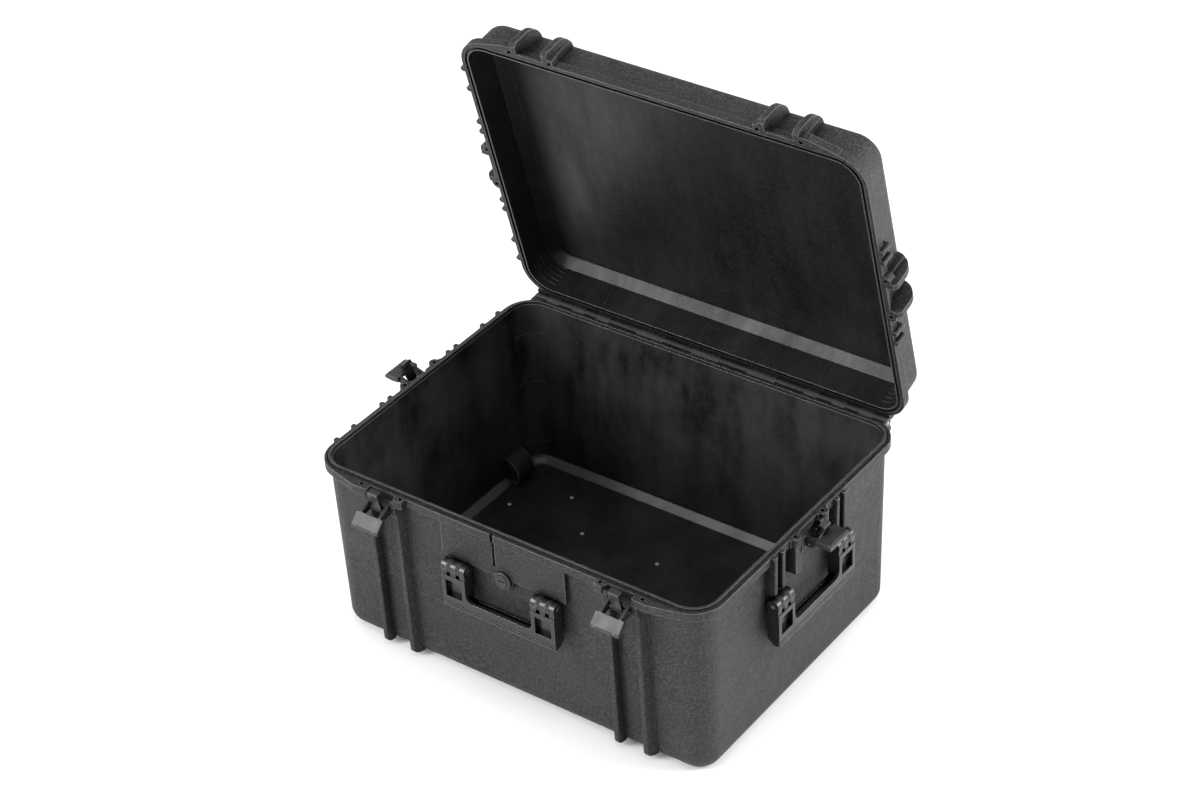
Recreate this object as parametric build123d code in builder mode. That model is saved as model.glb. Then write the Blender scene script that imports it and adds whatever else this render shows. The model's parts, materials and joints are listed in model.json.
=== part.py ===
from build123d import *
import os
from math import cos, tan, radians

# Hard equipment case with a deep base and a shallow lid, drawn with the lid and the latches open.
# Millimetres. Origin: centre of the face that the base rests on. +X runs along the hinge,
# +Y points to the hinge side, +Z is up.

# Shells
MOUTH_LENGTH = 620.0
MOUTH_DEPTH = 460.0
WALL = 4.5
DRAFT = 1.2
CORNER_RADIUS = 38.0
RIM_Z = 282.0
BASE_FILLET = 24.0
FLOOR_CHAMFER = 10.0
FLANGE_OVERHANG = 7.5
FLANGE_HEIGHT = 12.0
FLANGE_BEVEL = 8.0
RIM_GAP = 0.4
LID_HEIGHT = 63.0
LID_DRAFT = 3.0
LID_FILLET = 16.0
LID_RAMP = 13.0
LID_RECESS_MARGIN = 60.0
LID_RECESS_RADIUS = 20.0
LID_RECESS_DEPTH = 1.5

# Tongue on the base rim, and the groove with its seal in the lid
TONGUE_INSET = 2.5
TONGUE_WIDTH = 3.2
TONGUE_HEIGHT = 3.6
GROOVE_CLEARANCE = 0.7
GROOVE_DEPTH = 7.0
SEAL_HEIGHT = 3.4
RIM_LINE_INSET = 6.8
RIM_LINE_WIDTH = 1.6
RIM_LINE_DEPTH = 1.5

# Hinge along the back of the rim
PIN_Y = 250.0
PIN_Z = 277.0
PIN_RADIUS = 2.5
RUNNING_FIT = 0.06
KNUCKLE_RADIUS = 6.5
SHORT_KNUCKLE = 22.3
LONG_KNUCKLE = 47.2
SHORT_KNUCKLES = 6
LONG_KNUCKLES = 7
KNUCKLE_GAP = 0.4
HEEL_REACH = 8.0
RAIL_DROP = 9.2
RAIL_HEIGHT = 10.0
LID_OPEN_ANGLE = 76.0
KNUCKLE_SHIFT = -6.0
LID_STRIP_FRONT = -10.0
LID_STRIP_LOW = -4.0
LID_STRIP_BACK = 1.0
LID_STRIP_STEP = 2.2

# Latches: two in front, one on each side
FRONT_LATCH_X = 197.0
LEVER_ANGLE = {"front_left": 47.0, "front_right": 47.0, "left": 92.0, "right": 88.0}
CLAW_RATIO = -4 / 3
LEVER_PIN_OUT = 12.0
LEVER_PIN_DROP = 17.5
CLAW_PIN_OUT = 10.5
CLAW_PIN_DROP = 26.0
LATCH_PIN_RADIUS = 2.0
CHEEK_INNER = 13.5
CHEEK_OUTER = 17.5
POST_INNER = 18.5
POST_OUTER = 27.0
POST_REACH = 15.5
TAB_HALF_WIDTH = 22.0
TAB_INNER = 20.7
TAB_OUTER = 24.3
TAB_TOP = -38.5
TAB_END = -62.0
CLAW_HALF_WIDTH = 8.0
CLAW_ARM_INNER = 10.0
CLAW_ARM_OUTER = 13.6
CLAW_TOP = 6.4
LEDGE_TOP = 3.6
LEDGE_REACH = 9.5
LEDGE_LIP = 7.2
LEDGE_BACK = 4.0
CLAW_ROOM_BACK = 3.5
CLAW_EYE_RADIUS = 3.9
FIN_INNER = 21.5
FIN_OUTER = 30.5
FIN_REACH = 25.0
FIN_STRAIGHT = 27.0
FIN_TOP = 58.0
FIN_ROOT = 8.0
PADLOCK_OFFSET = 33.0
PADLOCK_OUT = 9.5
PADLOCK_RADIUS = 3.25
PADLOCK_RELIEF = 4.0
PADLOCK_BOSS_RADIUS = 8.0
RIB_ROUNDING = 1.8
RIB_FOOT = 9.0
RIB_OFFSET = POST_INNER + 4.5
GUARD_RIBS = (-84.0, -66.0, 66.0, 84.0)
WHEEL_RIBS = (-183.0, -146.0, 146.0, 183.0)
PILLAR_WIDTH = 13.0
PILLAR_REACH = 14.5
PILLAR_BOTTOM = -57.0

# Handles: one in front, one on each side
HANDLE_PIN_Z = 206.0
HANDLE_PIN_OUT = 12.5
HANDLE_PIN_RADIUS = 3.0
ARM_CENTRE = 74.0
ARM_WIDTH = 38.0
LUG_RADIUS = 10.0
LUG_WIDTH = 6.0
LUG_BASE_REACH = 7.0
LUG_BASE_HEIGHT = 14.0
BASE_LUG_OFFSETS = (-7.5, 7.5)
HANDLE_LUG_SPANS = ((-19.0, -11.0), (-4.0, 4.0), (11.0, 19.0))
ARM_TOP = 11.5
HANDLE_LENGTH = 64.0
HANDLE_FRONT = 9.5
HANDLE_BACK = 9.5
BAR_HEIGHT = 19.0
GRIP_CORNER = 11.0
GRIP_WALL = 4.5

# Purge valve in the front wall
VALVE_Z = 212.0
VALVE_SEAT = 5.5
VALVE_SEAT_RADIUS = 15.5
VALVE_SEAT_ROOT = 6.0
VALVE_RECESS_RADIUS = 10.7
VALVE_RECESS_DEPTH = 1.8
VALVE_BORE_RADIUS = 8.3
VALVE_STEM_RADIUS = 5.0
VALVE_STEM_END = -4.0

# Raised pad above the front handle, with a groove down to the valve
PAD_LENGTH = 204.0
PAD_HEIGHT = 56.0
PAD_MIDDLE_Z = 242.0
PAD_REACH = 5.0
PAD_ROOT = 8.0
PAD_GROOVE_X = -14.0
PAD_GROOVE_WIDTH = 5.0
PAD_GROOVE_DEPTH = 2.5
PAD_GROOVE_LENGTH = 55.0

# Wheel pockets in the lower left edge
POCKET_Y = 164.5
POCKET_LENGTH = 29.0
POCKET_RADIUS = 22.0
POCKET_X = 306.0
POCKET_Z = 22.0

GROOVE_INSET = TONGUE_INSET - GROOVE_CLEARANCE
GROOVE_WIDTH = TONGUE_WIDTH + 2 * GROOVE_CLEARANCE
OUTER_LENGTH = MOUTH_LENGTH + 2 * WALL
OUTER_DEPTH = MOUTH_DEPTH + 2 * WALL
FLANGE_LENGTH = OUTER_LENGTH + 2 * FLANGE_OVERHANG
FLANGE_DEPTH = OUTER_DEPTH + 2 * FLANGE_OVERHANG
FLANGE_RADIUS = CORNER_RADIUS + FLANGE_OVERHANG
MOUTH_RADIUS = CORNER_RADIUS - WALL
LID_Z = RIM_Z + RIM_GAP
LEAN = tan(radians(DRAFT))
HINGE_AXIS = Axis((0, PIN_Y, PIN_Z), (1, 0, 0))

LEDGE_FLOOR = LEDGE_TOP - 2.2
LEDGE_BACK_TOP = LEDGE_TOP + 4.5
LEDGE_OUTLINE = [(-1, RIM_GAP), (LEDGE_REACH, RIM_GAP), (LEDGE_REACH, LEDGE_TOP), (LEDGE_LIP, LEDGE_TOP),
                 (LEDGE_LIP, LEDGE_FLOOR), (LEDGE_BACK, LEDGE_FLOOR), (LEDGE_BACK, LEDGE_TOP),
                 (CLAW_ROOM_BACK, LEDGE_BACK_TOP), (-1, LEDGE_BACK_TOP)]

# A station is a frame on the outer wall at the rim: x along the wall, -y outward, z up.
STATIONS = {
    "front_left": Location((-FRONT_LATCH_X, -OUTER_DEPTH / 2, RIM_Z)),
    "front_right": Location((FRONT_LATCH_X, -OUTER_DEPTH / 2, RIM_Z)),
    "left": Location((-OUTER_LENGTH / 2, 0, RIM_Z), (0, 0, -90)),
    "right": Location((OUTER_LENGTH / 2, 0, RIM_Z), (0, 0, 90)),
    "front": Location((0, -OUTER_DEPTH / 2, RIM_Z)),
}
LATCHES = ["front_left", "front_right", "left", "right"]
HANDLES = ["front", "left", "right"]


def tapered_block(length, depth, radius, z_from, z_to, taper):
    """Rounded block that narrows from z_from towards z_to."""
    direction = 1 if z_to > z_from else -1
    with BuildPart() as block:
        with BuildSketch(Plane((0, 0, z_from), x_dir=(1, 0, 0), z_dir=(0, 0, direction))):
            RectangleRounded(length, depth, radius)
        extrude(amount=abs(z_to - z_from), taper=taper)
    return block.part


def make_block():
    """The outer shape of the base: drafted down from the rim, its lower edge rounded."""
    with BuildPart() as block:
        add(tapered_block(OUTER_LENGTH, OUTER_DEPTH, CORNER_RADIUS, RIM_Z, 0, DRAFT))
        fillet(block.faces().sort_by(Axis.Z)[0].edges(), radius=BASE_FILLET)
    return block.part


def make_cavity():
    """The inside of the base: drafted down from the rim, with a ramp around its floor."""
    with BuildPart() as cavity:
        add(tapered_block(MOUTH_LENGTH, MOUTH_DEPTH, MOUTH_RADIUS, RIM_Z, WALL, DRAFT))
        chamfer(cavity.faces().sort_by(Axis.Z)[0].edges(), length=FLOOR_CHAMFER)
    return cavity.part


def pocket_bulge(block, y):
    """The part of a wheel pocket's round wall that lies within the base's outer faces."""
    with BuildPart() as bulge:
        with Locations(Location((-POCKET_X, y, POCKET_Z), (90, 0, 0))):
            Cylinder(POCKET_RADIUS + WALL, POCKET_LENGTH + 2 * WALL)
        add(block, mode=Mode.INTERSECT)
    return bulge.part


def outline_plate(points, z_low, z_high):
    """Flat plate in a station's frame, from an outline of (along, outward) points."""
    with BuildPart() as plate:
        with BuildSketch(Plane.XY.offset(z_low)):
            with BuildLine():
                Polyline(*[(along, -outward) for along, outward in points], close=True)
            make_face()
        extrude(amount=z_high - z_low)
    return plate.part


def side_plate(points, half_width):
    """Plate across a station's frame, from a side outline of (outward, up) points."""
    with BuildPart() as plate:
        with BuildSketch(Plane.YZ):
            with BuildLine():
                Polyline(*[(-outward, up) for outward, up in points], close=True)
            make_face()
        extrude(amount=half_width, both=True)
    return plate.part


def wall_rib(points, z_top, z_bottom, tip_radius):
    """Rib that follows the drafted wall down, rounded at its foot."""
    drop = z_top - z_bottom
    with BuildPart() as rib:
        with BuildSketch(Plane.XY.offset(z_top)):
            with BuildLine():
                Polyline(*[(along, -outward) for along, outward in points], close=True)
            make_face()
        extrude(amount=drop / cos(radians(DRAFT)), dir=(0, LEAN, -1))
        foot = rib.edges().filter_by(Axis.X).group_by(Axis.Z)[0].sort_by(Axis.Y)[0]
        fillet(foot, radius=tip_radius)
        front = rib.faces().sort_by(Axis.Y)[0]
        sides = front.edges().sort_by(Axis.X)
        fillet([sides[0], sides[-1]], radius=RIB_ROUNDING)
    return rib.part


def rim_ring(inset, width, z_low, height):
    """Rectangular ring that follows the mouth, inset outward from its edge."""
    with BuildPart() as ring:
        with BuildSketch(Plane.XY.offset(z_low)):
            outer = inset + width
            RectangleRounded(MOUTH_LENGTH + 2 * outer, MOUTH_DEPTH + 2 * outer, MOUTH_RADIUS + outer)
            RectangleRounded(MOUTH_LENGTH + 2 * inset, MOUTH_DEPTH + 2 * inset, MOUTH_RADIUS + inset,
                             mode=Mode.SUBTRACT)
        extrude(amount=height)
    return ring.part


def knuckle_spans():
    """(start, end) of each hinge knuckle along X."""
    short_run = SHORT_KNUCKLES * SHORT_KNUCKLE
    start = KNUCKLE_SHIFT - (short_run + LONG_KNUCKLES * LONG_KNUCKLE / 2)
    spans = []
    lengths = [SHORT_KNUCKLE] * SHORT_KNUCKLES + [LONG_KNUCKLE] * LONG_KNUCKLES
    for length in lengths + [SHORT_KNUCKLE] * SHORT_KNUCKLES:
        spans.append((start + KNUCKLE_GAP / 2, start + length - KNUCKLE_GAP / 2))
        start += length
    return spans


def knuckle(span, web_points):
    """One hinge knuckle: a barrel on the pin and the web that ties it to its shell."""
    with BuildPart() as piece:
        with BuildSketch(Plane.YZ.offset(span[0])):
            with Locations((PIN_Y, PIN_Z)):
                Circle(KNUCKLE_RADIUS)
            with BuildLine():
                Polyline(*[(PIN_Y + y, PIN_Z + z) for y, z in web_points], close=True)
            make_face()
        extrude(amount=span[1] - span[0])
    return piece.part


# ---------------------------------------------------------------- base shell features


def front_latch_flange(outer_side):
    """Padlock bosses of a front latch; the outer one tapers towards the corner."""
    s = outer_side
    inner = [(-39 * s, 2), (-39 * s, 16), (-27 * s, 17.5), (-20 * s, 4), (-20 * s, 2)]
    outer = [(20 * s, 2), (20 * s, 16), (24 * s, 17.5), (43 * s, 18), (87 * s, 7.4), (87 * s, 2)]
    with BuildPart() as flange:
        add(outline_plate(inner, -FLANGE_HEIGHT, 0))
        add(outline_plate(outer, -FLANGE_HEIGHT, 0))
    return flange.part


def side_latch_flange():
    """Rounded padlock bosses of a side latch, each on a short pillar."""
    with BuildPart() as flange:
        for side in (-1, 1):
            with BuildSketch(Plane.XY.offset(-FLANGE_HEIGHT)):
                with Locations((side * PADLOCK_OFFSET, -PADLOCK_OUT)):
                    Circle(PADLOCK_BOSS_RADIUS)
                with Locations((side * PADLOCK_OFFSET, -PADLOCK_OUT / 2)):
                    Rectangle(24, PADLOCK_OUT)
            extrude(amount=FLANGE_HEIGHT)
            with BuildSketch(Plane.XY.offset(PILLAR_BOTTOM)):
                with Locations((side * (POST_OUTER + PILLAR_WIDTH / 2), 1 - PILLAR_REACH / 2)):
                    Rectangle(PILLAR_WIDTH, PILLAR_REACH + 2)
            extrude(amount=-PILLAR_BOTTOM - FLANGE_HEIGHT)
    return flange.part


def padlock_holes(radius, z_low, z_high):
    """The two holes beside a latch, in its station's frame."""
    with BuildPart() as holes:
        with BuildSketch(Plane.XY.offset(z_low)):
            with Locations((-PADLOCK_OFFSET, -PADLOCK_OUT), (PADLOCK_OFFSET, -PADLOCK_OUT)):
                Circle(radius)
        extrude(amount=z_high - z_low)
    return holes.part


def latch_posts():
    """Two posts that carry the lever's pins."""
    side = [(-1, -6), (POST_REACH, -6), (POST_REACH, -27), (11, -38), (-1, -38)]
    with BuildPart() as posts:
        add(side_plate(side, POST_OUTER))
        with Locations((0, -20, -25)):
            Box(2 * POST_INNER, 60, 50, mode=Mode.SUBTRACT)
    return posts.part


def handle_lugs():
    """Two pairs of lugs that carry one handle's pins."""
    axis = Location((0, -HANDLE_PIN_OUT, 0), (0, 90, 0))
    with BuildPart() as lugs:
        for side in (-1, 1):
            for offset in BASE_LUG_OFFSETS:
                x = side * ARM_CENTRE + offset - LUG_WIDTH / 2
                with BuildSketch(Plane.YZ.offset(x)):
                    with Locations((-HANDLE_PIN_OUT, 0)):
                        Circle(LUG_RADIUS)
                    with Locations((-3, 0)):
                        Rectangle(2 * LUG_BASE_REACH, LUG_BASE_HEIGHT)
                extrude(amount=LUG_WIDTH)
        with Locations(axis):
            Cylinder(HANDLE_PIN_RADIUS, 2 * (ARM_CENTRE + ARM_WIDTH), mode=Mode.SUBTRACT)
    return lugs.part


def make_base_shell():
    wide_rib = {side: wall_rib([(-5 * side, -3), (-3.5 * side, 12.5), (4 * side, 12.5), (11 * side, -3)],
                               -6, 7 - RIM_Z, RIB_FOOT) for side in (-1, 1)}
    guard_rib = wall_rib([(-4, -3), (-3.6, 14), (3.6, 14), (4, -3)], -1, HANDLE_PIN_Z - RIM_Z + 13, 3)
    wheel_rib = wall_rib([(-5, -3), (-3.6, 14), (3.6, 14), (5, -3)], -1, 9 - RIM_Z, RIB_FOOT)
    block = make_block()
    cavity = make_cavity()
    pocket_places = (-POCKET_Y, POCKET_Y)
    bulges = [pocket_bulge(block, y) for y in pocket_places]
    with BuildPart() as shell:
        add(block)
        # rim flange with a bevelled underside
        with BuildSketch(Plane.XY.offset(RIM_Z - FLANGE_HEIGHT)):
            RectangleRounded(FLANGE_LENGTH, FLANGE_DEPTH, FLANGE_RADIUS)
        extrude(amount=FLANGE_HEIGHT)
        bevel = RIM_Z - FLANGE_HEIGHT
        add(tapered_block(FLANGE_LENGTH, FLANGE_DEPTH, FLANGE_RADIUS, bevel, bevel - FLANGE_BEVEL, 45))
        # raised pad above the front handle, with a groove down to the valve
        with BuildSketch(Plane.XZ.offset(OUTER_DEPTH / 2 - PAD_ROOT)):
            with Locations((0, PAD_MIDDLE_Z)):
                Rectangle(PAD_LENGTH, PAD_HEIGHT)
        extrude(amount=PAD_ROOT + PAD_REACH)
        groove_out = OUTER_DEPTH / 2 + PAD_REACH - PAD_GROOVE_DEPTH
        with Locations((PAD_GROOVE_X, -groove_out, RIM_Z + 1)):
            Box(PAD_GROOVE_WIDTH, 2 * PAD_REACH, PAD_GROOVE_LENGTH,
                align=(Align.CENTER, Align.MAX, Align.MAX), mode=Mode.SUBTRACT)
        # latches and their ribs
        for side, name in ((-1, "front_left"), (1, "front_right")):
            with Locations(STATIONS[name]):
                add(front_latch_flange(side))
                add(latch_posts())
            for rib_side in (-1, 1):
                place = STATIONS[name].position + Vector(rib_side * RIB_OFFSET, 0, 0)
                with Locations(Location(place)):
                    add(wide_rib[rib_side])
        for name, turn in (("left", -90), ("right", 90)):
            with Locations(STATIONS[name]):
                add(side_latch_flange())
                add(latch_posts())
            spots = [(y, guard_rib) for y in GUARD_RIBS]
            if name == "left":
                spots += [(y, wheel_rib) for y in WHEEL_RIBS]
            for y, rib in spots:
                with Locations(Location((STATIONS[name].position.X, y, RIM_Z), (0, 0, turn))):
                    add(rib)
        # handle lugs
        for name in HANDLES:
            place = STATIONS[name].position - Vector(0, 0, RIM_Z - HANDLE_PIN_Z)
            with Locations(Location(place, STATIONS[name].orientation)):
                add(handle_lugs())
        # seat of the purge valve
        with BuildSketch(Plane.XZ.offset(OUTER_DEPTH / 2 - VALVE_SEAT_ROOT)):
            with Locations((0, VALVE_Z)):
                Circle(VALVE_SEAT_RADIUS)
        extrude(amount=VALVE_SEAT_ROOT + VALVE_SEAT)
        # hinge rail and the base's knuckles
        spans = knuckle_spans()
        rail_top = PIN_Z - RAIL_DROP
        with BuildSketch(Plane.YZ.offset(spans[0][0])):
            with BuildLine():
                Polyline((228, rail_top - RAIL_HEIGHT - 20), (228, rail_top), (PIN_Y + 8, rail_top),
                         (PIN_Y + 8, rail_top - 5), (PIN_Y - 4, rail_top - RAIL_HEIGHT - 6), close=True)
            make_face()
        extrude(amount=spans[-1][1] - spans[0][0])
        web = [(-14, -RAIL_DROP - 1), (-14, RIM_Z - PIN_Z), (-4, RIM_Z - PIN_Z),
               (5, -4), (5, -RAIL_DROP - 1)]
        for span in spans[::2]:
            add(knuckle(span, web))
        # hollow inside
        add(cavity, mode=Mode.SUBTRACT)
        # wheel pockets in the lower left edge, with their bulges inside
        for y, bulge in zip(pocket_places, bulges):
            add(bulge)
            with Locations(Location((-POCKET_X, y, POCKET_Z), (90, 0, 0))):
                Cylinder(POCKET_RADIUS, POCKET_LENGTH, mode=Mode.SUBTRACT)
        # tongue on the rim
        add(rim_ring(TONGUE_INSET, TONGUE_WIDTH, RIM_Z, TONGUE_HEIGHT))
        # a fine line around the rim, outside the tongue
        add(rim_ring(RIM_LINE_INSET, RIM_LINE_WIDTH, RIM_Z - RIM_LINE_DEPTH, 2 * RIM_LINE_DEPTH),
            mode=Mode.SUBTRACT)
        # bores for padlocks, the lever pins, the hinge pin and the valve
        for name in LATCHES:
            with Locations(STATIONS[name]):
                add(padlock_holes(PADLOCK_RADIUS, PILLAR_BOTTOM - 1, 1), mode=Mode.SUBTRACT)
                with Locations(Location((0, -LEVER_PIN_OUT, -LEVER_PIN_DROP), (0, 90, 0))):
                    Cylinder(LATCH_PIN_RADIUS, 2 * (POST_OUTER - 2), mode=Mode.SUBTRACT)
        with Locations(Location((0, PIN_Y, PIN_Z), (0, 90, 0))):
            Cylinder(PIN_RADIUS, FLANGE_LENGTH, mode=Mode.SUBTRACT)
        with Locations(Location((0, -OUTER_DEPTH / 2, VALVE_Z), (90, 0, 0))):
            Cylinder(VALVE_BORE_RADIUS, 4 * WALL, mode=Mode.SUBTRACT)
        with Locations(Location((0, -OUTER_DEPTH / 2 - VALVE_SEAT, VALVE_Z), (90, 0, 0))):
            Cylinder(VALVE_RECESS_RADIUS, 2 * VALVE_RECESS_DEPTH, mode=Mode.SUBTRACT)
    return shell.part


# ---------------------------------------------------------------- lid


def lid_front_flange(outer_side):
    """The lid's half of a front latch's padlock bosses."""
    with BuildPart() as flange:
        with Locations((0, 0, FLANGE_HEIGHT + RIM_GAP)):
            add(front_latch_flange(outer_side))
    return flange.part


def lid_side_flange():
    """The lid's half of a side latch's rounded padlock bosses."""
    with BuildPart() as flange:
        for side in (-1, 1):
            with BuildSketch(Plane.XY.offset(RIM_GAP)):
                with Locations((side * PADLOCK_OFFSET, -PADLOCK_OUT)):
                    Circle(PADLOCK_BOSS_RADIUS)
                with Locations((side * PADLOCK_OFFSET, -PADLOCK_OUT / 2)):
                    Rectangle(16, PADLOCK_OUT)
            extrude(amount=FLANGE_HEIGHT)
    return flange.part


def fins():
    """Two tall fins that guard the latch on the lid."""
    root = (FIN_ROOT, FIN_TOP)
    shoulder = (-FIN_REACH + 1, FIN_STRAIGHT)
    foot = [(-FIN_REACH, 6), (-FIN_REACH + 4, RIM_GAP), (FIN_ROOT, RIM_GAP)]
    with BuildPart() as pair:
        with BuildSketch(Plane.YZ):
            with BuildLine():
                Polyline(shoulder, *foot, root)
                TangentArc(shoulder, root, tangent=(0.03, 1))
            make_face()
        extrude(amount=FIN_OUTER, both=True)
        Box(2 * FIN_INNER, 4 * FIN_REACH, 4 * FIN_TOP, mode=Mode.SUBTRACT)
    return pair.part


def make_lid_shell():
    """The lid, drawn closed."""
    top = LID_Z + LID_HEIGHT
    guard = outline_plate([(-4, -1), (-3.6, 12), (-2, 14), (2, 14), (3.6, 12), (4, -1)], RIM_GAP, 20)
    wheel_guard = outline_plate([(-5, -1), (-3.6, 12), (-2, 14), (2, 14), (3.6, 12), (5, -1)], RIM_GAP, 26)
    with BuildPart() as hollow:
        add(tapered_block(MOUTH_LENGTH, MOUTH_DEPTH, MOUTH_RADIUS, LID_Z, top - WALL, LID_DRAFT))
        chamfer(hollow.faces().sort_by(Axis.Z)[-1].edges(), length=LID_RAMP)
    with BuildPart() as shell:
        add(tapered_block(OUTER_LENGTH, OUTER_DEPTH, CORNER_RADIUS, LID_Z, top, LID_DRAFT))
        fillet(shell.faces().sort_by(Axis.Z)[-1].edges(), radius=LID_FILLET)
        with BuildSketch(Plane.XY.offset(top - LID_RECESS_DEPTH)):
            margin = 2 * LID_RECESS_MARGIN
            RectangleRounded(MOUTH_LENGTH - margin, MOUTH_DEPTH - margin, LID_RECESS_RADIUS)
        extrude(amount=2, mode=Mode.SUBTRACT)
        with BuildSketch(Plane.XY.offset(LID_Z)):
            RectangleRounded(FLANGE_LENGTH, FLANGE_DEPTH, FLANGE_RADIUS)
        extrude(amount=FLANGE_HEIGHT)
        bevel = LID_Z + FLANGE_HEIGHT
        add(tapered_block(FLANGE_LENGTH, FLANGE_DEPTH, FLANGE_RADIUS, bevel, bevel + FLANGE_BEVEL, 45))
        for name in LATCHES:
            with Locations(STATIONS[name]):
                add(fins())
        for side, name in ((-1, "front_left"), (1, "front_right")):
            with Locations(STATIONS[name]):
                add(lid_front_flange(side))
        for name, turn in (("left", -90), ("right", 90)):
            with Locations(STATIONS[name]):
                add(lid_side_flange())
            spots = [(y, guard) for y in GUARD_RIBS]
            if name == "left":
                spots += [(y, wheel_guard) for y in WHEEL_RIBS]
            for y, rib in spots:
                with Locations(Location((STATIONS[name].position.X, y, RIM_Z), (0, 0, turn))):
                    add(rib)
        # room for each claw, and the ledge that it hooks over
        for name in LATCHES:
            with Locations(STATIONS[name]):
                # clear the flange in front of the wall between the fins, then add the ledge
                with Locations((0, -CLAW_ROOM_BACK - FIN_REACH, FLANGE_HEIGHT)):
                    Box(2 * FIN_INNER, 2 * FIN_REACH, 4 * FLANGE_HEIGHT, mode=Mode.SUBTRACT)
                add(side_plate(LEDGE_OUTLINE, FIN_INNER))
        web = [(-10, LID_Z - PIN_Z), (-KNUCKLE_RADIUS, LID_Z - PIN_Z), (-KNUCKLE_RADIUS, 0),
               (HEEL_REACH, 0), (HEEL_REACH, 15), (-10, 17.4)]
        spans = knuckle_spans()
        for span in spans[1::2]:
            add(knuckle(span, web))
        # strip that fills the gap above the base's knuckles
        strip_top = LID_Z + FLANGE_HEIGHT
        with BuildSketch(Plane.YZ.offset(spans[0][0])):
            with BuildLine():
                Polyline((PIN_Y + LID_STRIP_FRONT, LID_Z), (PIN_Y + LID_STRIP_LOW, LID_Z),
                         (PIN_Y + LID_STRIP_BACK, LID_Z + LID_STRIP_STEP),
                         (PIN_Y + LID_STRIP_BACK, strip_top), (PIN_Y + LID_STRIP_FRONT, strip_top),
                         close=True)
            make_face()
        extrude(amount=spans[-1][1] - spans[0][0])
        add(hollow.part, mode=Mode.SUBTRACT)
        # groove for the seal
        add(rim_ring(GROOVE_INSET, GROOVE_WIDTH, LID_Z, GROOVE_DEPTH), mode=Mode.SUBTRACT)
        for name in LATCHES:
            with Locations(STATIONS[name]):
                boss_top = RIM_GAP + FLANGE_HEIGHT
                add(padlock_holes(PADLOCK_RADIUS, 0, boss_top + 1), mode=Mode.SUBTRACT)
                add(padlock_holes(PADLOCK_RELIEF, boss_top, FIN_TOP + 2), mode=Mode.SUBTRACT)
        with Locations(Location((0, PIN_Y, PIN_Z), (0, 90, 0))):
            Cylinder(PIN_RADIUS + RUNNING_FIT, FLANGE_LENGTH, mode=Mode.SUBTRACT)
    return shell.part


# ---------------------------------------------------------------- latch pieces, drawn closed


def make_lever():
    """Lever: two cheeks on the pins and a wide channel-shaped tab that stands off in front of them."""
    cheek = [(7.5, -14.5), (9.5, -12.9), (14.5, -12.9), (17, -15.5), (TAB_OUTER, TAB_TOP),
             (TAB_OUTER, TAB_END + 2), (TAB_INNER, TAB_END + 2), (14, -38), (9, -31.5),
             (6.5, -29), (6.5, -24)]
    tab = [(TAB_INNER, TAB_TOP), (TAB_OUTER - 1, TAB_TOP), (TAB_OUTER, TAB_TOP - 1),
           (TAB_OUTER, TAB_END + 4), (TAB_OUTER - 2, TAB_END), (TAB_INNER - 3, TAB_END),
           (TAB_INNER - 3, TAB_END + 2), (TAB_INNER, TAB_END + 4)]
    edge = [(TAB_OUTER - 1, TAB_TOP), (TAB_OUTER - 1, TAB_END + 2), (TAB_INNER - 3, TAB_END), (16.5, -50),
            (17.5, TAB_TOP)]
    with BuildPart() as edges:
        add(side_plate(edge, TAB_HALF_WIDTH))
        with Locations((0, -18, -50)):
            Box(2 * TAB_HALF_WIDTH - 4.4, 40, 60, mode=Mode.SUBTRACT)
    with BuildPart() as lever:
        add(side_plate(cheek, CHEEK_OUTER))
        with Locations((0, -14, -40)):
            Box(2 * CHEEK_INNER, 40, 90, mode=Mode.SUBTRACT)
        add(side_plate(tab, TAB_HALF_WIDTH))
        add(edges.part)
        with Locations(Location((0, -LEVER_PIN_OUT, -LEVER_PIN_DROP), (0, 90, 0))):
            Cylinder(LATCH_PIN_RADIUS + RUNNING_FIT, 60, mode=Mode.SUBTRACT)
        with Locations(Location((0, -CLAW_PIN_OUT, -CLAW_PIN_DROP), (0, 90, 0))):
            Cylinder(LATCH_PIN_RADIUS, 60, mode=Mode.SUBTRACT)
    return lever.part


def make_claw():
    """Claw: an eye on the lever's inner pin, an arm, and a hook that drops into the lid's ledge."""
    under = LEDGE_TOP + 0.4
    side = [(CLAW_ARM_INNER, -25), (CLAW_ARM_OUTER, -25), (CLAW_ARM_OUTER, CLAW_TOP - 2),
            (CLAW_ARM_OUTER - 2, CLAW_TOP), (4.4, CLAW_TOP), (4.4, LEDGE_TOP - 1.8), (6.8, LEDGE_TOP - 1.8),
            (6.8, under), (CLAW_ARM_INNER, under)]
    with BuildPart() as claw:
        add(side_plate(side, CLAW_HALF_WIDTH))
        with Locations(Location((0, -CLAW_PIN_OUT, -CLAW_PIN_DROP), (0, 90, 0))):
            Cylinder(CLAW_EYE_RADIUS, 2 * CLAW_HALF_WIDTH)
            Cylinder(LATCH_PIN_RADIUS + RUNNING_FIT, 60, mode=Mode.SUBTRACT)
    return claw.part


def make_latch_pins():
    """The two short pins that carry the lever in its posts."""
    with BuildPart() as pins:
        start = CHEEK_INNER + 0.2
        length = POST_OUTER - 2 - start
        for side in (-1, 1):
            centre = (side * (start + length / 2), -LEVER_PIN_OUT, -LEVER_PIN_DROP)
            with Locations(Location(centre, (0, 90, 0))):
                Cylinder(LATCH_PIN_RADIUS, length)
    return pins.part


def make_claw_pin():
    with BuildPart() as pin:
        with Locations(Location((0, -CLAW_PIN_OUT, -CLAW_PIN_DROP), (0, 90, 0))):
            Cylinder(LATCH_PIN_RADIUS, 2 * CHEEK_OUTER - 0.4)
    return pin.part


# ---------------------------------------------------------------- handles, in the frame of their pins


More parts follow.
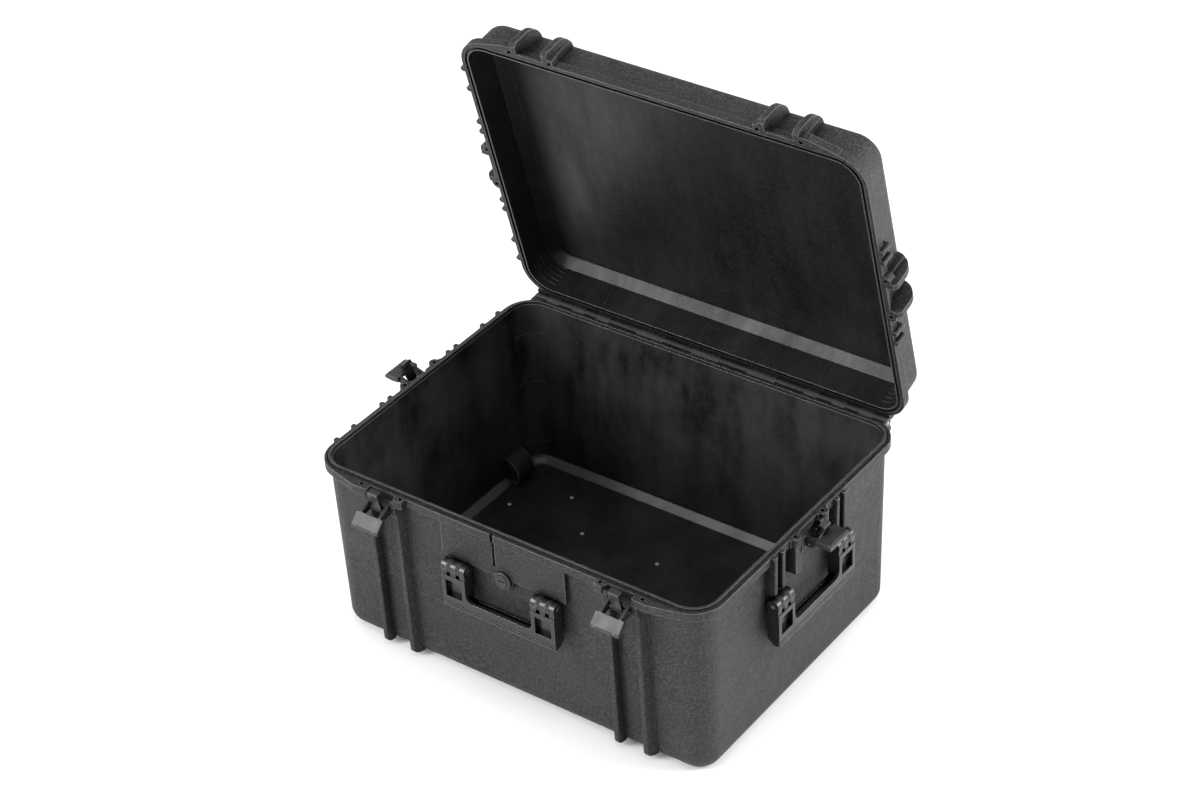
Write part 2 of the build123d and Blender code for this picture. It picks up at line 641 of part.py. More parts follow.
def grip_corner(side, x, z):
    """Filler that rounds the inner corner between an arm and the grip."""
    middle = -side * GRIP_CORNER
    with BuildPart() as corner:
        with BuildSketch(Plane.XZ.offset(HANDLE_FRONT - GRIP_WALL)):
            with Locations((side * x + middle / 2, z + GRIP_CORNER / 2)):
                Rectangle(GRIP_CORNER + 2, GRIP_CORNER + 2)
            with Locations((side * x + middle, z + GRIP_CORNER)):
                Circle(GRIP_CORNER, mode=Mode.SUBTRACT)
        extrude(amount=GRIP_WALL)
    return corner.part


def make_handle():
    """Fold-down handle: two pocketed arms with three lugs each, and a channel-shaped grip."""
    half = ARM_CENTRE + ARM_WIDTH / 2
    inner = ARM_CENTRE - ARM_WIDTH / 2
    with BuildPart() as handle:
        arm = [(-HANDLE_BACK, -ARM_TOP), (HANDLE_FRONT, -ARM_TOP), (HANDLE_FRONT, -HANDLE_LENGTH),
               (0, -HANDLE_LENGTH), (-HANDLE_BACK, -HANDLE_LENGTH + 9)]
        add(side_plate(arm, half))
        with Locations((0, 0, -HANDLE_LENGTH / 2)):
            Box(2 * inner, 60, 200, mode=Mode.SUBTRACT)
        low = -HANDLE_LENGTH
        grip = [(HANDLE_FRONT, low + BAR_HEIGHT), (HANDLE_FRONT, low), (0, low), (-HANDLE_BACK, low + 9),
                (-HANDLE_BACK, low + 14), (-6, low + 14), (-5, low + 9), (3, low + 5), (5, low + 6),
                (5.5, low + BAR_HEIGHT)]
        add(side_plate(grip, inner + 2))
        for side in (-1, 1):
            add(grip_corner(side, inner, low + BAR_HEIGHT))
        for side in (-1, 1):
            for start, end in HANDLE_LUG_SPANS:
                with BuildSketch(Plane.YZ.offset(side * ARM_CENTRE + start)):
                    Circle(LUG_RADIUS - 0.4)
                    with Locations((0, -ARM_TOP / 2)):
                        Rectangle(2 * LUG_RADIUS - 3, ARM_TOP + 1)
                extrude(amount=end - start)
            with Locations((side * ARM_CENTRE, -HANDLE_FRONT, -ARM_TOP - 21)):
                Box(ARM_WIDTH - 11, 14, 28, mode=Mode.SUBTRACT)
        for z in (low + 3.5, low + 7.5):
            with Locations((0, -HANDLE_FRONT, z)):
                Box(2 * half + 2, 3, 1.6, mode=Mode.SUBTRACT)
        with Locations(Location((0, 0, 0), (0, 90, 0))):
            Cylinder(HANDLE_PIN_RADIUS + RUNNING_FIT, 300, mode=Mode.SUBTRACT)
    return handle.part


def make_handle_pin(side):
    with BuildPart() as pin:
        with Locations(Location((side * ARM_CENTRE, 0, 0), (0, 90, 0))):
            Cylinder(HANDLE_PIN_RADIUS, ARM_WIDTH - 1)
    return pin.part


# ---------------------------------------------------------------- purge valve, along the front wall's normal


def turned(points, centre_z):
    """Solid turned about the valve's axis from an outline of (radius, outward) points."""
    with BuildPart() as piece:
        with BuildSketch(Plane((0, -OUTER_DEPTH / 2, centre_z), x_dir=(1, 0, 0), z_dir=(0, 0, 1))):
            with BuildLine():
                Polyline(*[(radius, -outward) for radius, outward in points], close=True)
            make_face()
        revolve(axis=Axis((0, -OUTER_DEPTH / 2, centre_z), (0, 1, 0)))
    return piece.part


def make_valve_body():
    """Flanged cup in the wall, closed at its inner end, with a bore for the knob's stem."""
    bore = VALVE_STEM_RADIUS + RUNNING_FIT
    body = [(0, -6), (8.2, -6), (8.2, VALVE_SEAT), (13.5, VALVE_SEAT), (13.5, 8.7), (12.7, 9.5),
            (9.3, 9.5), (9.3, 7.4), (bore, 7.4), (bore, VALVE_STEM_END - 0.4), (0, VALVE_STEM_END - 0.4)]
    return turned(body, VALVE_Z)


def make_valve_knob():
    stem = VALVE_STEM_RADIUS
    knob = [(0, VALVE_STEM_END), (stem, VALVE_STEM_END), (stem, 7.6), (8.9, 7.6), (8.9, 10), (8.1, 10.8),
            (0, 10.8)]
    with BuildPart() as piece:
        add(turned(knob, VALVE_Z))
        with Locations((0, -OUTER_DEPTH / 2 - 10.8, VALVE_Z)):
            Box(12, 3.2, 2.2, mode=Mode.SUBTRACT)
    return piece.part


def opened(piece):
    """A lid piece, turned about the hinge to where the lid stands open."""
    return piece.rotate(HINGE_AXIS, -LID_OPEN_ANGLE)


def write(name, piece):
    piece.label = name
    export_step(piece, f"parts/{name}.step")


def latch_axis(name, out, drop):
    """Axis along the wall through a point of a station; a positive turn opens the lever."""
    station = STATIONS[name]
    along = Plane(station).x_dir
    point = Plane(station).from_local_coords(Vector(0, -out, -drop))
    return Axis(point, along * -1)


def main():
    os.makedirs("parts", exist_ok=True)
    write("base_shell", make_base_shell())
    write("lid_shell", opened(make_lid_shell()))
    seal_z = LID_Z + GROOVE_DEPTH - SEAL_HEIGHT
    write("lid_seal", opened(rim_ring(GROOVE_INSET, GROOVE_WIDTH, seal_z, SEAL_HEIGHT)))
    pin_start, pin_end = knuckle_spans()[0][0], knuckle_spans()[-1][1]
    with BuildPart() as hinge_pin:
        with Locations(Location(((pin_start + pin_end) / 2, PIN_Y, PIN_Z), (0, 90, 0))):
            Cylinder(PIN_RADIUS, pin_end - pin_start)
    write("hinge_pin", hinge_pin.part)
    lever, claw, claw_pin, latch_pins = make_lever(), make_claw(), make_claw_pin(), make_latch_pins()
    for name in LATCHES:
        station = STATIONS[name]
        lever_axis = latch_axis(name, LEVER_PIN_OUT, LEVER_PIN_DROP)
        claw_axis = latch_axis(name, CLAW_PIN_OUT, CLAW_PIN_DROP)
        angle = LEVER_ANGLE[name]
        write(f"latch_pins_{name}", latch_pins.moved(station))
        write(f"latch_lever_{name}", lever.moved(station).rotate(lever_axis, angle))
        write(f"latch_claw_pin_{name}", claw_pin.moved(station).rotate(lever_axis, angle))
        swung = claw.moved(station).rotate(claw_axis, CLAW_RATIO * angle)
        write(f"latch_claw_{name}", swung.rotate(lever_axis, angle))
    handle = make_handle()
    for name in HANDLES:
        place = Plane(STATIONS[name]).from_local_coords(Vector(0, -HANDLE_PIN_OUT, HANDLE_PIN_Z - RIM_Z))
        place = Location(place, STATIONS[name].orientation)
        write(f"handle_{name}", handle.moved(place))
        for side, hand in ((-1, "a"), (1, "b")):
            write(f"handle_pin_{name}_{hand}", make_handle_pin(side).moved(place))
    write("purge_valve_body", make_valve_body())
    write("purge_valve_knob", make_valve_knob())
    with BuildPart() as o_ring:
        with Locations(Location((0, -OUTER_DEPTH / 2 - 4.6, VALVE_Z), (90, 0, 0))):
            Torus(9.5, 0.85)
    write("purge_valve_o_ring", o_ring.part)


main()
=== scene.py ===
import json
from math import cos, pi, radians, sin

import bmesh
import bpy
from mathutils import Matrix, Vector


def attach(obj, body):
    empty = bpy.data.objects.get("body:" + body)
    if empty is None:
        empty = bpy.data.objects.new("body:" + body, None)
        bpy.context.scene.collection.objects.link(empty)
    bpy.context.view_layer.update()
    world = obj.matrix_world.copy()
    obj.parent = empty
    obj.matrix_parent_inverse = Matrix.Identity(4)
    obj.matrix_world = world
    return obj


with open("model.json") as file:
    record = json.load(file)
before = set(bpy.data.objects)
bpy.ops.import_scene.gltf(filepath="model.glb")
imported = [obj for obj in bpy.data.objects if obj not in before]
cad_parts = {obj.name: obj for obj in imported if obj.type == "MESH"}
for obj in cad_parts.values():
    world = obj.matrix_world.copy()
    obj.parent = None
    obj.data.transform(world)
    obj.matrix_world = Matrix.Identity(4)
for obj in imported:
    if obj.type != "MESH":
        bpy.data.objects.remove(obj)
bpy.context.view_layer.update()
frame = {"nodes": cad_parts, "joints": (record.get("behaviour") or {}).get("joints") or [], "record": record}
nodes = frame["nodes"]

LID_JOINT = next(joint for joint in frame["joints"] if joint["name"] == "lid_hinge")
HINGE = Vector(LID_JOINT["pos_m"])
LID_OPEN = radians(-LID_JOINT["range_deg"][0])

# sizes of the case, in metres, as its CAD has them; a slope is how far a wall leans out per metre
MOUTH = Vector((0.620, 0.460))
MOUTH_RADIUS = 0.0335
WALL = 0.0045
RIM = 0.282
LID_TOP = 0.3454
BASE_SLOPE = 0.021
LID_SLOPE = 0.0524
RAMP = 0.010

# moulded details, in metres
BASE_BEAD_RADIUS = 0.0009
BASE_BEAD_DROPS = (0.049, 0.134, 0.241)
LID_BEAD_RADIUS = 0.0006
LID_BEADS = 5
LID_BEAD_START = 0.012
LID_BEAD_STEP = 0.008
LID_RIB_RADIUS = 0.0011
LID_RIB_START = 0.009
LID_RIB_LENGTH = 0.038
LID_RIB_STEPS = 12
LID_RIBS = {"left": -0.188, "right": 0.177}
BEAD_SIDES = 8
BEAD_TIP = 0.08
BEAD_TAPER = 0.4
ARC_STEPS = 10
ARC_END_SHARE = 1 / 28
PIP_RADIUS = 0.0034
PIP_HEIGHT = 0.0018
FLOOR_PIPS = [(-0.268, 0.105), (-0.199, 0.167), (-0.135, 0.105), (-0.002, 0.105)]

# where noise mostly falls, between 0 and 1
NOISE_LOW = 0.3
NOISE_HIGH = 0.7
STREAK_LOW = 0.42
STREAK_HIGH = 0.6
UPPER_STREAK_LOW = 0.40
SPECKLE_LOW = 0.45

# cosine between a surface and its rounded edge, where edge wear and painted highlight start and where they
# are full
EDGE_START = 0.95
EDGE_FULL = 0.72
EDGE_SAMPLES = 4

# share of open air around a point: where the painted crevice shade starts and is full, and where edge wear
# and painted highlight start and are full
PAINTED_SHADE_START = 0.85
PAINTED_SHADE_FULL = 0.3
OPEN_START = 0.65
OPEN_FULL = 0.9
AIR_SAMPLES = 6

# reach of each material's shading, and depth of its relief, in metres
FLOOR_EDGE = 0.020
BARREL_REACH = 0.0072
SOFT_STEP = 0.0005
RAMP_STEP = 0.001
UPPER_START = 0.03
UPPER_FULL = 0.22
SHELL_EDGE = 0.0012
SHELL_SHADE_REACH = 0.022
SHELL_GRAIN_DEPTH = 0.0011
SATIN_EDGE = 0.0009
FINE_DEPTH = 0.0002
DRAWN_DEPTH = 0.0001

# stage, in metres, degrees, millimetres of lens and watts; a light is name, place, width, height, power
FLOOR_REACH = 12
CAMERA_PLACE = (1.995934, -2.601142, 2.679776)
CAMERA_TURN = -37.597
CAMERA_TILT = 35.304
CAMERA_ROLL = -3.385
CAMERA_LENS = 89.85
CAMERA_SENSOR = 36
WORLD_LIGHT = 0.8
LIGHT_AIM = Vector((0, 0, 0.3))
LIGHTS = [
    ("key", (-1.9, -2.8, 1.9), 1.2, 2.4, 130),
    ("overhead", (0.2, -0.4, 3.2), 1.6, 1.6, 20),
    ("right", (2.7, 1.5, 1.6), 1.6, 1.6, 130),
]


# ---------------------------------------------------------------- shader tools


class Shader:
    """One material's node tree, with short ways to add and link its nodes."""

    def __init__(self, name):
        self.material = bpy.data.materials.new(name)
        self.material.use_nodes = True
        self.tree = self.material.node_tree
        self.surface = self.tree.nodes["Principled BSDF"]

    def add(self, kind, inputs=None, **settings):
        node = self.tree.nodes.new(kind)
        for key, value in settings.items():
            setattr(node, key, value)
        for key, value in (inputs or {}).items():
            self.feed(node.inputs[key], value)
        return node

    def feed(self, socket, value):
        if isinstance(value, bpy.types.NodeSocket):
            self.tree.links.new(value, socket)
        else:
            socket.default_value = value

    def set(self, **values):
        for key, value in values.items():
            self.feed(self.surface.inputs[key.replace("_", " ")], value)

    def math(self, operation, a, b=0.0):
        return self.add("ShaderNodeMath", {0: a, 1: b}, operation=operation).outputs[0]

    def vector(self, operation, a, b=(0, 0, 0)):
        return self.add("ShaderNodeVectorMath", {0: a, 1: b}, operation=operation).outputs[0]

    def length(self, vector):
        return self.add("ShaderNodeVectorMath", {0: vector}, operation="LENGTH").outputs["Value"]

    def noise(self, point, scale, detail=3.0, roughness=0.55):
        inputs = {"Vector": point, "Scale": scale, "Detail": detail, "Roughness": roughness}
        return self.add("ShaderNodeTexNoise", inputs).outputs["Fac"]

    def span(self, value, low, high, out_low=0.0, out_high=1.0):
        inputs = {"Value": value, "From Min": low, "From Max": high, "To Min": out_low, "To Max": out_high}
        return self.add("ShaderNodeMapRange", inputs).outputs[0]

    def mix(self, factor, a, b):
        node = self.add("ShaderNodeMix", data_type="RGBA")
        self.feed(node.inputs["Factor"], factor)
        self.feed(node.inputs[6], a)
        self.feed(node.inputs[7], b)
        return node.outputs[2]

    def blend(self, factor, a, b):
        return self.add("ShaderNodeMix", {"Factor": factor, "A": a, "B": b}).outputs[0]

    def edges(self, radius):
        """Rounded normal, and 0 to 1 along sharp edges."""
        rounded = self.add("ShaderNodeBevel", {"Radius": radius}, samples=EDGE_SAMPLES).outputs[0]
        flat = self.add("ShaderNodeNewGeometry").outputs["Normal"]
        match = self.add("ShaderNodeVectorMath", {0: rounded, 1: flat}, operation="DOT_PRODUCT")
        return rounded, self.span(match.outputs["Value"], EDGE_START, EDGE_FULL)

    def painted_crevice_shade(self, reach):
        """0 to 1 where the surface is shut in by others within reach, for painted shade, and 0 to 1 where it
        is open.
        """
        node = self.add("ShaderNodeAmbientOcclusion", {"Distance": reach}, samples=AIR_SAMPLES)
        air = node.outputs["AO"]
        return self.span(air, PAINTED_SHADE_START, PAINTED_SHADE_FULL), self.span(air, OPEN_START, OPEN_FULL)

    def bump(self, height, strength, distance, normal=None):
        inputs = {"Height": height, "Strength": strength, "Distance": distance}
        if normal:
            inputs["Normal"] = normal
        return self.add("ShaderNodeBump", inputs).outputs[0]


def grey(value, warmth=0.0):
    return (value * (1 + warmth), value, value * (1 - warmth), 1.0)


def shell_grey(value):
    """The shells' slightly warm grey."""
    return grey(value, warmth=0.02)


def own_point(shader, turned=False):
    """A surface point in the part's frame, turned back to where it is when the lid is closed if turned."""
    point = shader.add("ShaderNodeTexCoord").outputs["Object"]
    if turned:
        inputs = {"Vector": point, "Center": HINGE, "Axis": (1, 0, 0), "Angle": LID_OPEN}
        point = shader.add("ShaderNodeVectorRotate", inputs).outputs[0]
    return point


def height_of(shader, point):
    return shader.add("ShaderNodeSeparateXYZ", {0: point}).outputs[2]


# ---------------------------------------------------------------- shell plastic


def past_edge(shader, a, b):
    """Distance past a rounded edge's axis, from the distances past it along two directions."""
    both = shader.add("ShaderNodeCombineXYZ", {0: a, 1: b}).outputs[0]
    return shader.length(shader.vector("MAXIMUM", both))


def inside_mask(shader, point, lid):
    """1 on the inner faces of a shell, 0 on its outer faces: the side of a rounded box in mid-wall."""
    away = shader.add("ShaderNodeSeparateXYZ", {0: shader.vector("ABSOLUTE", point)})
    z = height_of(shader, point)
    if lid:
        lean = shader.math("MULTIPLY", shader.math("SUBTRACT", z, RIM), LID_SLOPE)
        up = shader.math("SUBTRACT", z, LID_TOP - WALL / 2 - FLOOR_EDGE)
    else:
        lean = shader.math("MULTIPLY", shader.math("SUBTRACT", RIM, z), BASE_SLOPE)
        up = shader.math("SUBTRACT", WALL / 2 + FLOOR_EDGE, z)
    corner = MOUTH_RADIUS + WALL / 2
    reach = []
    for axis in (0, 1):
        straight = MOUTH[axis] / 2 + WALL / 2 - corner
        reach.append(shader.math("SUBTRACT", shader.math("ADD", away.outputs[axis], lean), straight))
    sideways = shader.math("SUBTRACT", past_edge(shader, *reach), corner - FLOOR_EDGE)
    return shader.math("LESS_THAN", past_edge(shader, sideways, up), FLOOR_EDGE)


def barrel_mask(shader):
    """1 near the hinge's axis, where the knuckles are painted lighter and kept free of painted shade."""
    point = own_point(shader)
    across = shader.vector("MULTIPLY", shader.vector("SUBTRACT", point, HINGE), (0, 1, 1))
    return shader.span(shader.length(across), BARREL_REACH, BARREL_REACH - SOFT_STEP)


def streaks(shader, point, lid):
    """Soft streaks, which run up the walls of the base and from front to back of the lid."""
    stretched = shader.vector("MULTIPLY", point, (22, 5, 5) if lid else (14, 14, 4))
    streaky = shader.noise(stretched, scale=1.0, detail=5, roughness=0.6)
    cloudy = shader.noise(point, scale=12, detail=5, roughness=0.65)
    return shader.math("ADD", shader.math("MULTIPLY", streaky, 0.6), shader.math("MULTIPLY", cloudy, 0.4))


def outer_colour(shader, mottle, speckle):
    """Black with broad mottling and fine pale specks."""
    dark, light, speck = shell_grey(0.006), shell_grey(0.014), shell_grey(0.05)
    colour = shader.mix(shader.span(mottle, NOISE_LOW, NOISE_HIGH), dark, light)
    return shader.mix(shader.span(speckle, SPECKLE_LOW, 0.68, out_high=0.9), colour, speck)


def inner_colour(shader, point, streak, speckle, lid):
    """Black with streaks and a few specks, and in the base a painted sheen, paler up the walls, and a
    painted sheen band on the floor's ramp.
    """
    dark, light, speck = shell_grey(0.004), shell_grey(0.014), grey(0.03)
    painted_upper_sheen, painted_ramp_sheen = shell_grey(0.042), shell_grey(0.055)
    colour = shader.mix(shader.span(streak, STREAK_LOW, STREAK_HIGH), dark, light)
    if not lid:
        z = height_of(shader, point)
        climb = shader.span(z, UPPER_START, UPPER_FULL)
        streaky = shader.span(streak, UPPER_STREAK_LOW, STREAK_HIGH)
        # painted sheen: paler streaks climbing the base's inner walls
        colour = shader.mix(shader.math("MULTIPLY", climb, streaky), colour, painted_upper_sheen)
        above_foot = shader.span(z, WALL, WALL + RAMP_STEP)
        below_top = shader.span(z, WALL + RAMP, WALL + RAMP - RAMP_STEP)
        # painted sheen: a paler band on the ramp between floor and walls
        colour = shader.mix(shader.math("MULTIPLY", above_foot, below_top), colour, painted_ramp_sheen)
    return shader.mix(shader.span(speckle, SPECKLE_LOW, 0.75, out_high=0.4), colour, speck)


def shell_plastic(name, lid):
    """Grained black plastic outside, smoother and streaky inside."""
    shader = Shader(name)
    point = own_point(shader, turned=lid)
    inside = inside_mask(shader, point, lid)
    barrel = barrel_mask(shader)
    rounded, edge = shader.edges(SHELL_EDGE)
    painted_crevice_shade, open_air = shader.painted_crevice_shade(SHELL_SHADE_REACH)
    # no painted crevice shade on the hinge knuckles
    painted_crevice_shade = shader.math("MULTIPLY", painted_crevice_shade, shader.math("SUBTRACT", 1.0, barrel))
    wear_and_highlight = shader.math("MULTIPLY", edge, open_air)
    mottle = shader.noise(point, scale=9, detail=4)
    speckle = shader.noise(point, scale=330, roughness=0.65)
    streak = streaks(shader, point, lid)
    painted_knuckle_light, wear_and_highlight_tone, shade = grey(0.05), grey(0.45), grey(0.002)

    outer = outer_colour(shader, mottle, speckle)
    inner = inner_colour(shader, point, streak, speckle, lid)
    colour = shader.mix(inside, outer, inner)
    # painted light: the hinge knuckles paler, as if lit
    colour = shader.mix(barrel, colour, painted_knuckle_light)
    # edge wear and painted highlight: open rounded edges lightened towards pale grey
    colour = shader.mix(shader.math("MULTIPLY", wear_and_highlight, 0.9), colour, wear_and_highlight_tone)
    # painted shade: near-black colour where the surface is shut in by nearby parts
    colour = shader.mix(shader.math("MULTIPLY", painted_crevice_shade, 0.85), colour, shade)
    shader.set(Base_Color=colour)

    rough_out = shader.span(mottle, NOISE_LOW, NOISE_HIGH, out_low=0.52, out_high=0.44)
    rough_in = shader.span(streak, 0.4, 0.62, out_low=0.44, out_high=0.30)
    shader.set(Roughness=shader.blend(inside, rough_out, rough_in))
    # painted shade on the reflections too: specular lowered where the surface is shut in
    shader.set(Specular_IOR_Level=shader.span(painted_crevice_shade, 0, 1, out_low=0.28, out_high=0.05))

    grain = shader.noise(point, scale=520, roughness=0.65)
    waves = shader.noise(point, scale=45)
    relief = shader.math("ADD", grain, shader.math("MULTIPLY", waves, 2.0))
    strength = shader.blend(inside, 1.0, 0.25)
    shader.set(Normal=shader.bump(relief, strength, SHELL_GRAIN_DEPTH, rounded))
    return shader.material


# ---------------------------------------------------------------- other materials


def satin_plastic(name, dark, light, roughness, reach, wear_and_highlight):
    """Smooth moulded plastic with faint mottling, edges lightened by wear and painted highlight, and painted
    shade where shut in within reach.
    """
    shader = Shader(name)
    point = own_point(shader)
    rounded, edge = shader.edges(SATIN_EDGE)
    painted_crevice_shade, open_air = shader.painted_crevice_shade(reach)
    edge = shader.math("MULTIPLY", edge, open_air)
    mottle = shader.noise(point, scale=60, detail=4)
    speckle = shader.noise(point, scale=900, detail=2)
    grain = shader.noise(point, scale=1100, detail=2)
    low, high, speck = grey(dark, warmth=0.01), grey(light, warmth=0.01), grey(light * 1.6)
    wear_and_highlight_tone, shade = grey(0.28), grey(0.001)

    colour = shader.mix(shader.span(mottle, NOISE_LOW, NOISE_HIGH), low, high)
    colour = shader.mix(shader.span(speckle, 0.4, 0.75, out_high=0.25), colour, speck)
    # edge wear and painted highlight: open rounded edges lightened towards pale grey
    colour = shader.mix(shader.math("MULTIPLY", edge, wear_and_highlight), colour, wear_and_highlight_tone)
    # painted shade: near-black colour where the surface is shut in within reach
    colour = shader.mix(shader.math("MULTIPLY", painted_crevice_shade, 0.95), colour, shade)
    shader.set(Base_Color=colour)

    dull, shiny = roughness + 0.05, roughness - 0.05
    shader.set(Roughness=shader.span(mottle, NOISE_LOW, NOISE_HIGH, dull, shiny))
    # painted shade on the reflections too: specular lowered where shut in
    shader.set(Specular_IOR_Level=shader.span(painted_crevice_shade, 0, 1, out_low=0.44, out_high=0.04))
    shader.set(Normal=shader.bump(grain, strength=0.35, distance=FINE_DEPTH, normal=rounded))
    return shader.material


def seal_rubber():
    """Dull dark rubber."""
    shader = Shader("seal_rubber")
    fine = shader.noise(own_point(shader), scale=500)
    shader.set(Base_Color=shader.mix(fine, grey(0.012), grey(0.024)))
    shader.set(Roughness=shader.span(fine, NOISE_LOW, NOISE_HIGH, out_low=0.75, out_high=0.6))
    shader.set(Normal=shader.bump(fine, strength=0.3, distance=FINE_DEPTH))
    return shader.material


def pin_steel():
    """Drawn steel, with fine lines."""
    shader = Shader("pin_steel")
    stretched = shader.vector("MULTIPLY", own_point(shader), (40, 900, 900))
    drawn = shader.noise(stretched, scale=1.0)
    shader.set(Base_Color=shader.mix(drawn, grey(0.34), grey(0.52)))
    shader.set(Metallic=1.0)
    shader.set(Roughness=shader.span(drawn, NOISE_LOW, NOISE_HIGH, out_low=0.42, out_high=0.28))
    shader.set(Normal=shader.bump(drawn, strength=0.2, distance=DRAWN_DEPTH))
    return shader.material


def dress_cad_nodes():
    """Gives every CAD node its material, and returns the shells' materials."""
    shells = {"base_shell": shell_plastic("base_plastic", lid=False),
              "lid_shell": shell_plastic("lid_plastic", lid=True)}
    latch = satin_plastic("latch_plastic", dark=0.012, light=0.024, roughness=0.38, reach=0.045, wear_and_highlight=0.5)
    # painted shade: a darker copy of the latch plastic for the claws, which sit in the shadowed latch bays
    claw = satin_plastic("claw_plastic_painted_shade", dark=0.004, light=0.008, roughness=0.45, reach=0.045, wear_and_highlight=0.3)
    handle = satin_plastic("handle_plastic", dark=0.006, light=0.014, roughness=0.26, reach=0.02, wear_and_highlight=0.9)
    valve = satin_plastic("valve_plastic", dark=0.008, light=0.016, roughness=0.42, reach=0.015, wear_and_highlight=0.6)
    slots = {"latch": latch, "handle": handle, "valve": valve, "seal": seal_rubber(), "steel": pin_steel()}
    slot_of = {part["node"]: part["material_slot"] for part in frame["record"]["subparts"]}
    for name, node in nodes.items():
        material = shells.get(name) or slots[slot_of[name]]
        # the claws take the darker copy, painted shade
        if name.startswith("latch_claw_") and slot_of[name] == "latch":
            material = claw
        node.data.materials.clear()
        node.data.materials.append(material)
    return shells


# ---------------------------------------------------------------- moulded details


def finish_piece(name, mesh, body, material):
    """Turns a bmesh into a smooth piece that rides on a body, with the given material."""
    data = bpy.data.meshes.new(name)
    mesh.to_mesh(data)
    mesh.free()
    for face in data.polygons:
        face.use_smooth = True
    piece = bpy.data.objects.new(name, data)
    bpy.context.scene.collection.objects.link(piece)
    data.materials.append(material)
    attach(piece, body)


def make_bead(name, points, radius, body, material):
    """Thin moulded bead along points, thinning out at both ends."""
    mesh = bmesh.new()
    rings = []
    for i, point in enumerate(points):
        ahead = (points[min(i + 1, len(points) - 1)] - points[max(i - 1, 0)]).normalized()
        across = ahead.orthogonal().normalized()
        around = ahead.cross(across)
        size = radius * max(sin(pi * i / (len(points) - 1)), BEAD_TIP) ** BEAD_TAPER
        ring = []
        for k in range(BEAD_SIDES):
            turn = 2 * pi * k / BEAD_SIDES
            ring.append(mesh.verts.new(point + size * (cos(turn) * across + sin(turn) * around)))
        rings.append(ring)
    for ring, following in zip(rings, rings[1:]):
        for k in range(BEAD_SIDES):
            beside = (k + 1) % BEAD_SIDES
            mesh.faces.new((ring[k], ring[beside], following[beside], following[k]))
    mesh.faces.new(reversed(rings[0]))
    mesh.faces.new(rings[-1])
    bmesh.ops.recalc_face_normals(mesh, faces=mesh.faces)
    finish_piece(name, mesh, body, material)


def make_pip(name, foot, material):
    """Low round pip on the floor, as a gate leaves it."""
    mesh = bmesh.new()
    bmesh.ops.create_uvsphere(mesh, u_segments=20, v_segments=12, radius=PIP_RADIUS)
    bmesh.ops.scale(mesh, vec=(1, 1, PIP_HEIGHT / PIP_RADIUS), verts=mesh.verts)
    bmesh.ops.translate(mesh, vec=foot, verts=mesh.verts)
    finish_piece(name, mesh, "base", material)


def opened(point):
    """A point of the closed lid, where it is with the lid open."""
    return Matrix.Rotation(-LID_OPEN, 3, "X") @ (Vector(point) - HINGE) + HINGE


def corner_arc(side_x, side_y, inset, z):
    """Points along the inner face of a vertical corner at height z, with a short step at each end."""
    centre = Vector((side_x * (MOUTH[0] / 2 - MOUTH_RADIUS), side_y * (MOUTH[1] / 2 - MOUTH_RADIUS), z))
    reach = MOUTH_RADIUS - inset
    even = [ARC_END_SHARE + (1 - 2 * ARC_END_SHARE) * i / ARC_STEPS for i in range(ARC_STEPS + 1)]
    points = []
    for share in (0, *even, 1):
        turn = share * pi / 2
        points.append(centre + Vector((side_x * reach * cos(turn), side_y * reach * sin(turn), 0)))
    return points


def case_corners():
    """Each vertical corner's sides along X and Y, with its short name."""
    for side_x in (-1, 1):
        for side_y in (-1, 1):
            yield side_x, side_y, "lr"[side_x > 0] + "fb"[side_y > 0]


def make_base_details(material, pip_material):
    """Beads in the inner corners of the base, and pips on its floor."""
    for side_x, side_y, corner in case_corners():
        for level, drop in enumerate(BASE_BEAD_DROPS):
            points = corner_arc(side_x, side_y, drop * BASE_SLOPE, RIM - drop)
            make_bead(f"corner_bead_{corner}_{level + 1}", points, BASE_BEAD_RADIUS, "base", material)
    for number, (x, y) in enumerate(FLOOR_PIPS):
        make_pip(f"floor_pip_{number + 1}", Vector((x, y, WALL)), pip_material)


def make_lid_details(material):
    """Short beads in the lid's inner corners, and two ribs across its hinge-side wall."""
    for side_x, side_y, corner in case_corners():
        for level in range(LID_BEADS):
            up = LID_BEAD_START + LID_BEAD_STEP * level
            points = [opened(p) for p in corner_arc(side_x, side_y, up * LID_SLOPE, RIM + up)]
            make_bead(f"lid_corner_bead_{corner}_{level + 1}", points, LID_BEAD_RADIUS, "lid", material)
    for side, x in LID_RIBS.items():
        points = []
        for step in range(LID_RIB_STEPS + 1):
            up = LID_RIB_START + LID_RIB_LENGTH * step / LID_RIB_STEPS
            points.append(opened((x, MOUTH[1] / 2 - up * LID_SLOPE, RIM + up)))
        make_bead(f"lid_wall_rib_{side}", points, LID_RIB_RADIUS, "lid", material)


# ---------------------------------------------------------------- stage


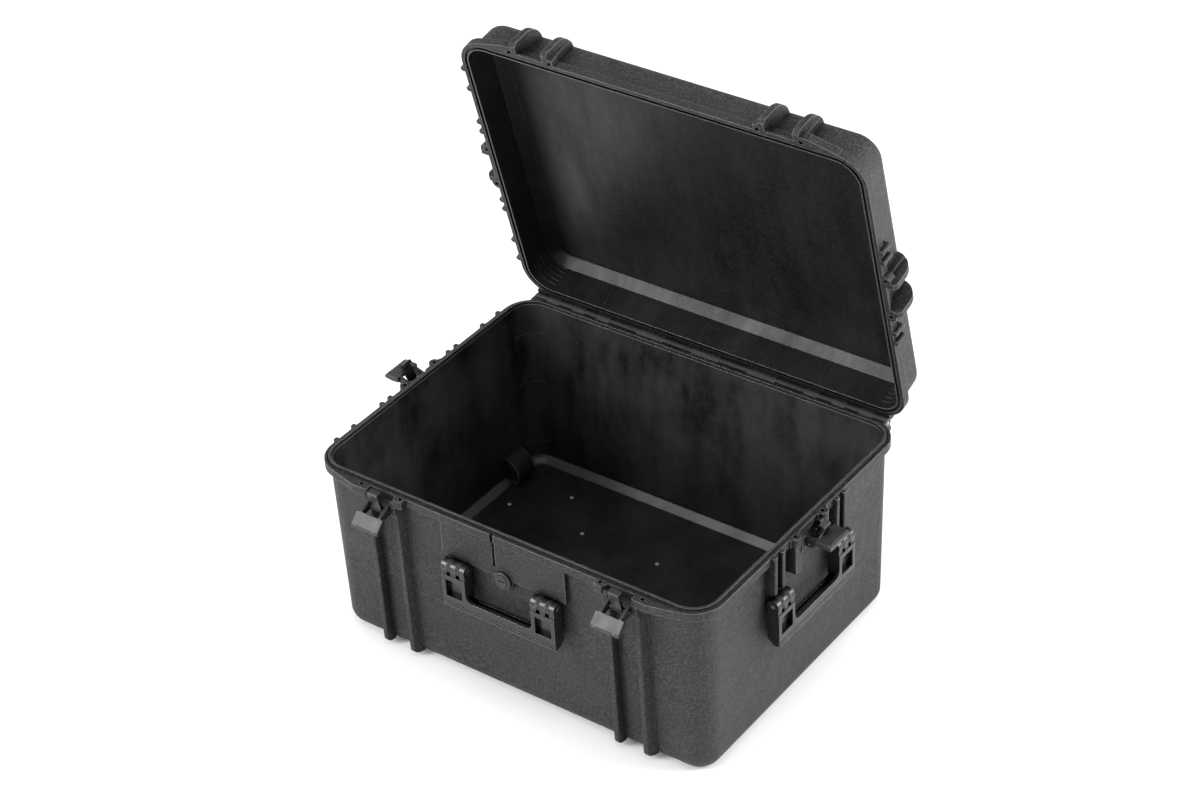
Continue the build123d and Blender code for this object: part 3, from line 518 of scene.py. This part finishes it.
def make_floor():
    """Pale matt floor under the case."""
    mesh = bpy.data.meshes.new("floor")
    side = FLOOR_REACH
    corners = [(-side, -side, 0), (side, -side, 0), (side, side, 0), (-side, side, 0)]
    mesh.from_pydata(corners, [], [(0, 1, 2, 3)])
    floor = bpy.data.objects.new("floor", mesh)
    bpy.context.scene.collection.objects.link(floor)
    shader = Shader("floor")
    shader.set(Base_Color=grey(0.95), Roughness=0.9)
    mesh.materials.append(shader.material)


def make_camera():
    """Camera above the front right corner, turned about the vertical, tilted down and slightly rolled."""
    data = bpy.data.cameras.new("camera")
    data.lens = CAMERA_LENS
    data.sensor_width = CAMERA_SENSOR
    data.clip_end = 50
    camera = bpy.data.objects.new("camera", data)
    camera.location = CAMERA_PLACE
    turn, tilt, roll = radians(CAMERA_TURN), radians(CAMERA_TILT), radians(CAMERA_ROLL)
    forward = Vector((sin(turn) * cos(tilt), cos(turn) * cos(tilt), -sin(tilt)))
    level = Vector((cos(turn), -sin(turn), 0))
    upright = level.cross(forward)
    right = cos(roll) * level + sin(roll) * upright
    up = cos(roll) * upright - sin(roll) * level
    camera.rotation_mode = "QUATERNION"
    camera.rotation_quaternion = Matrix((right, up, -forward)).transposed().to_quaternion()
    bpy.context.scene.collection.objects.link(camera)
    bpy.context.scene.camera = camera


def make_lights():
    """White surroundings and soft rectangular lights, all aimed at the case."""
    scene = bpy.context.scene
    world = bpy.data.worlds.new("world")
    world.use_nodes = True
    world.node_tree.nodes["Background"].inputs["Color"].default_value = (1, 1, 1, 1)
    world.node_tree.nodes["Background"].inputs["Strength"].default_value = WORLD_LIGHT
    scene.world = world
    scene.view_settings.view_transform = "Standard"
    for name, place, width, height, power in LIGHTS:
        data = bpy.data.lights.new(name, "AREA")
        data.shape = "RECTANGLE"
        data.size = width
        data.size_y = height
        data.energy = power
        light = bpy.data.objects.new(name, data)
        light.location = place
        light.rotation_mode = "QUATERNION"
        light.rotation_quaternion = (LIGHT_AIM - light.location).to_track_quat("-Z", "Y")
        scene.collection.objects.link(light)


shells = dress_cad_nodes()
pip_plastic = satin_plastic("pip_plastic", dark=0.15, light=0.25, roughness=0.35, reach=0.015, wear_and_highlight=0.5)
make_base_details(shells["base_shell"], pip_plastic)
make_lid_details(shells["lid_shell"])
make_floor()
make_camera()
make_lights()
